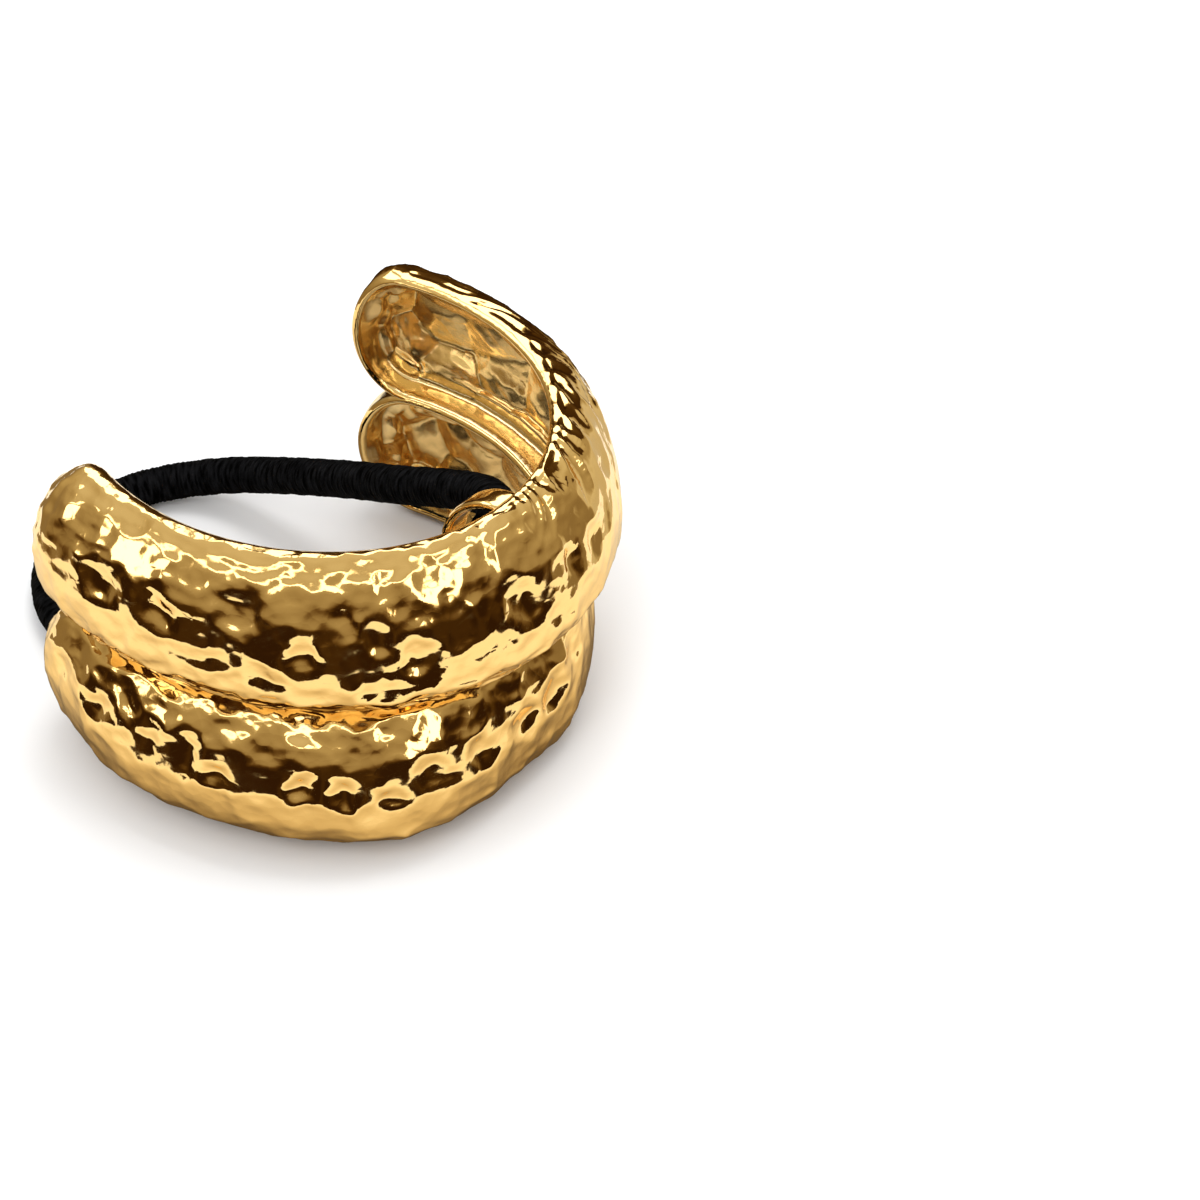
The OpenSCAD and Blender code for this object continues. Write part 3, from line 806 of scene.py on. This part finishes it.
def elastic_material():
    """Black thread wound round a rubber core: dull, with a faint sheen and fine fibres along threads."""
    material, tree, shader, place = new_material("black_elastic")
    new, link = tree.nodes.new, tree.links.new
    marks = polish_marks(tree, place, ELASTIC_MARKS)
    run = new("ShaderNodeUVMap")
    run.uv_map = "UVMap"
    lying = new("ShaderNodeMapping")
    lying.inputs["Scale"].default_value = (1, FIBRES_ROUND, 1)
    link(run.outputs["UV"], lying.inputs["Vector"])
    noise = new("ShaderNodeTexNoise")
    noise.inputs["Scale"].default_value = 1
    noise.inputs["Detail"].default_value = 4
    link(lying.outputs["Vector"], noise.inputs["Vector"])
    shade = tone_ramp(tree, FIBRE_TONES)
    link(noise.outputs["Fac"], shade.inputs["Fac"])
    link(shade.outputs["Color"], shader.inputs["Base Color"])
    link(marks.outputs["Roughness"], shader.inputs["Roughness"])
    link(marks.outputs["Normal"], shader.inputs["Normal"])
    shader.inputs["Sheen Weight"].default_value = 0.002
    shader.inputs["Sheen Roughness"].default_value = 0.4
    shader.inputs["Specular IOR Level"].default_value = 0.02
    return material


gold = gold_material()
elastic = elastic_material()

points, quads, corner_uv = elastic_surface()
loop = mesh_piece("elastic_loop_wound", points, quads, elastic, corner_uv=corner_uv)
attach(loop, "root")
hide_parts("elastic_loop")

for name, row in (("cuff_upper_row", 1), ("cuff_lower_row", -1)):
    points, quads, inside = row_surface(row)
    piece = mesh_piece(name, points, quads, gold, attributes={"inside": inside})
    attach(piece, "root")
    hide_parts("hammered_cuff")

points, quads, caps = holder_surface()
outside = {"inside": np.zeros(len(points))}
holder = mesh_piece("cuff_holder", points, quads, gold, attributes=outside, caps=caps)
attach(holder, "root")
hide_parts("hammered_cuff")


# Half the floor's side, and the reach of its tones from the ring's centre, both in metres
FLOOR_HALF = 2.0
FLOOR_REACH = 0.12

# Colours of the floor at shares of FLOOR_REACH: painted shade inside the ring, and painted light round
# the cuff, a little bluish, that lifts its shadow. Then the same as polished metal mirrors it, with a
# painted shade of the cuff and a painted glow of its gold
FLOOR_SHADE_AND_LIGHT_TONES = [
    (0.24, (0.84, 0.84, 0.84)),
    (0.33, (0.94, 0.955, 0.97)),
    (0.5, (0.94, 0.95, 0.96)),
    (1.0, (0.88, 0.88, 0.88)),
]
# Painted shade of the cuff and a painted glow of its gold, seen only by glossy rays
MIRRORED_SHADE_AND_GLOW_TONES = [
    (0.0, (0.85, 0.82, 0.76)),
    (0.1, (0.8, 0.76, 0.66)),
    (0.19, (0.2, 0.14, 0.07)),
    (0.25, (0.22, 0.16, 0.08)),
    (0.31, (0.6, 0.51, 0.35)),
    (0.46, (0.86, 0.8, 0.68)),
    (1.0, (0.95, 0.94, 0.92)),
]

# Card colours from dark to light, warmer where darker: a painted reflection of gold mirrored in gold
CARD_TONES = [
    (0.0, (0.03, 0.013, 0.004)),
    (0.2, (0.066, 0.033, 0.008)),
    (0.38, (0.152, 0.092, 0.034)),
    (0.56, (0.325, 0.25, 0.137)),
    (0.72, (0.51, 0.43, 0.274)),
    (0.87, (0.738, 0.683, 0.544)),
    (1.0, (0.917, 0.915, 0.911)),
]


def make_floor():
    """A wide pale floor under the cuff, with a ramp over the distance from the ring's centre: painted
    shade inside the ring and painted light round the cuff. Glossy rays see another ramp, darker and
    warmer near the cuff's foot: painted shade of the cuff and a painted glow of its gold."""
    material, tree, shader, place = new_material("pale_floor")
    new, link = tree.nodes.new, tree.links.new
    distance = new("ShaderNodeVectorMath")
    distance.operation = "DISTANCE"
    distance.inputs[1].default_value = (RING_X * MM, RING_Y * MM, 0)
    link(place, distance.inputs[0])
    share = new("ShaderNodeMapRange")
    share.inputs["From Max"].default_value = FLOOR_REACH
    link(distance.outputs["Value"], share.inputs["Value"])
    ray = new("ShaderNodeLightPath")
    seen = new("ShaderNodeMix")
    seen.data_type = "RGBA"
    for side, tones in (("A", FLOOR_SHADE_AND_LIGHT_TONES), ("B", MIRRORED_SHADE_AND_GLOW_TONES)):
        ramp = tone_ramp(tree, tones)
        link(share.outputs["Result"], ramp.inputs["Fac"])
        link(ramp.outputs["Color"], seen.inputs[side])
    link(ray.outputs["Is Glossy Ray"], seen.inputs["Factor"])
    link(seen.outputs["Result"], shader.inputs["Base Color"])
    shader.inputs["Roughness"].default_value = 0.7
    shader.inputs["Specular IOR Level"].default_value = 0.2
    mesh = bpy.data.meshes.new("floor")
    corners = [(x * FLOOR_HALF, y * FLOOR_HALF, 0) for x, y in ((-1, -1), (1, -1), (1, 1), (-1, 1))]
    mesh.from_pydata(corners, [], [(0, 1, 2, 3)])
    mesh.materials.append(material)
    floor = bpy.data.objects.new("floor", mesh)
    bpy.context.scene.collection.objects.link(floor)


# Height over the floor that the lights aim at, and the lights: name, degrees round from the camera and up,
# distance, width and height in metres, and watts
LIGHTS_AIM = 15
LIGHTS = [
    ("overhead", 150, 76, 0.5, 0.26, 0.16, 0.7),
    ("back_strip", 170, 50, 0.6, 0.5, 0.03, 0.25),
    ("front", -20, 50, 0.7, 0.3, 0.3, 1.0),
]


def softbox(name, turned, elevation, distance, width, height, power):
    """A rectangular light that faces the cuff, turned round from the camera and up by elevation."""
    a, e = math.radians(CAMERA_AZIMUTH + turned), math.radians(elevation)
    back = np.array([math.sin(a) * math.cos(e), -math.cos(a) * math.cos(e), math.sin(e)])
    level = np.array([math.cos(a), math.sin(a), 0.0])
    up = np.cross(back, level)
    data = bpy.data.lights.new(name, "AREA")
    data.shape = "RECTANGLE"
    data.size, data.size_y, data.energy = width, height, power
    light = bpy.data.objects.new(name, data)
    light.visible_glossy = False
    matrix = np.eye(4)
    matrix[:3, 0], matrix[:3, 1], matrix[:3, 2] = level, up, back
    matrix[:3, 3] = back * distance + np.array([RING_X, RING_Y, LIGHTS_AIM]) * MM
    light.matrix_world = Matrix(matrix.tolist())
    bpy.context.scene.collection.objects.link(light)


WORLD_STRENGTH = 1.06


def make_world():
    """A plain white studio."""
    world = bpy.data.worlds.new("studio")
    world.use_nodes = True
    background = world.node_tree.nodes["Background"]
    background.inputs["Color"].default_value = (1, 1, 1, 1)
    background.inputs["Strength"].default_value = WORLD_STRENGTH
    bpy.context.scene.world = world


def card(value, low, high, soft):
    """1 from low to high, easing to 0 over soft past each."""
    return eased((value - low) / soft + 1) * eased((high - value) / soft + 1)


def sector(turned, middle, half, soft):
    """1 over half degrees to each side of the middle, easing to 0 over soft past them."""
    aside = np.abs((turned - middle + 180) % 360 - 180)
    return eased((half - aside) / soft + 1)


# The dome of cards: radius, height of its foot, rows and columns of its points, and the last row's
# degrees up
DOME_RADIUS = 72
DOME_FOOT = 1
DOME_ROWS = 91
DOME_COLUMNS = 360
DOME_TOP = 89.5

# Level of its wall, from 0 for dark to 1 for white: low down, what it gains higher up, and the degrees
# up where it starts to and over which it goes on
WALL_LEVEL = 0.5
WALL_RISE = 0.34
WALL_FROM = 12
WALL_OVER = 55

# Cards that stand round the cuff, towards the camera, behind and at the right: change of level, what
# waves add to it, middle, half width and softness in degrees round from the camera, and degrees up where
# each starts to fade and over how many
STANDING_CARDS = [
    (-0.46, -0.08, 0, 62, 20, 14, 16),
    (-0.45, 0, 175, 25, 10, 46, 7),
    (0.3, 0, 119, 19, 10, 24, 12),
]
CARD_WAVES = 9

# Standing panels: middle, half width and softness round from the camera, low and high edge and softness
# upwards, all in degrees, and how much brighter than white a panel glows
PANELS = [
    (0, 70, 6, 46, 49, 1.5),
    (307, 5, 3, 30, 40, 2),
    (34, 4, 2, 26, 43, 2),
]
PANEL_GLOW = 2.2

# On a flat ceiling one unit up, the near and far edge and softness towards the camera and the same to
# the right: a dark card, and a white panel with a gap across it
DARK_CEILING = ((-1.15, -0.3, 0.08), (0.45, 1.1, 0.08))
DARK_CEILING_LEVEL = 0.55
WHITE_CEILING = ((-0.75, -0.18, 0.04), (-0.66, 0.35, 0.04))
CEILING_GAP = (-0.24, -0.18, 0.03)


def dome_levels(e, a):
    """How light the dome is at e degrees up and a degrees round from the camera, and how much of that is
    a panel: a wall that brightens upwards, less and plus the cards, under the panels."""
    level = WALL_LEVEL + WALL_RISE * eased((e - WALL_FROM) / WALL_OVER)
    waves = np.sin(np.radians(a + CAMERA_AZIMUTH) * CARD_WAVES)
    for change, wave, middle, half, soft, top, fade in STANDING_CARDS:
        level += (change + wave * waves) * sector(a, middle, half, soft) * (1 - eased((e - top) / fade))
    flat = np.cos(np.radians(e)) / np.maximum(np.sin(np.radians(e)), 0.05)
    near, right = flat * np.cos(np.radians(a)), flat * np.sin(np.radians(a))
    level -= DARK_CEILING_LEVEL * card(near, *DARK_CEILING[0]) * card(right, *DARK_CEILING[1])
    panel = card(near, *WHITE_CEILING[0]) * card(right, *WHITE_CEILING[1])
    panel *= 1 - card(right, *CEILING_GAP)
    for middle, half, soft, low, high, edge in PANELS:
        panel = np.maximum(panel, sector(a, middle, half, soft) * card(e, low, high, edge))
    return np.clip(level, 0, 1) * (1 - panel) + panel, panel


def studio_cards(radius):
    """What polished metal sees round it: dark cards low down towards the camera and behind, grey walls
    that brighten upwards, and white panels overhead and aside. Only reflections see the dome."""
    material = bpy.data.materials.new("studio_cards")
    material.use_nodes = True
    tree = material.node_tree
    new, link = tree.nodes.new, tree.links.new
    tree.nodes.remove(tree.nodes["Principled BSDF"])
    glow = new("ShaderNodeEmission")
    tone, power = new("ShaderNodeAttribute"), new("ShaderNodeAttribute")
    tone.attribute_name, power.attribute_name = "tone", "power"
    ramp = tone_ramp(tree, CARD_TONES)
    link(tone.outputs["Fac"], ramp.inputs["Fac"])
    link(ramp.outputs["Color"], glow.inputs["Color"])
    link(power.outputs["Fac"], glow.inputs["Strength"])
    link(glow.outputs[0], tree.nodes["Material Output"].inputs["Surface"])
    e, a = np.meshgrid(np.linspace(0, DOME_TOP, DOME_ROWS), np.arange(DOME_COLUMNS), indexing="ij")
    level_part, up = np.cos(np.radians(e)), np.sin(np.radians(e))
    turned = np.radians(a + CAMERA_AZIMUTH)
    points = np.stack([np.sin(turned) * level_part, -np.cos(turned) * level_part, up], axis=-1)
    points = points.reshape(-1, 3) * radius + (RING_X, RING_Y, DOME_FOOT)
    level, panel = dome_levels(e, a)
    mesh = bpy.data.meshes.new("studio_cards")
    mesh.from_pydata((points * MM).tolist(), [], grid_quads(DOME_ROWS, DOME_COLUMNS)[0].tolist())
    for key, values in (("tone", level), ("power", 1 + PANEL_GLOW * panel)):
        layer = mesh.attributes.new(key, "FLOAT", "POINT")
        layer.data.foreach_set("value", values.astype(np.float32).ravel())
    mesh.materials.append(material)
    cards = bpy.data.objects.new("studio_cards", mesh)
    cards.visible_camera = cards.visible_diffuse = cards.visible_shadow = False
    bpy.context.scene.collection.objects.link(cards)


make_floor()
make_world()
studio_cards(DOME_RADIUS)
for light in LIGHTS:
    softbox(*light)
bpy.context.scene.view_settings.view_transform = "Standard"
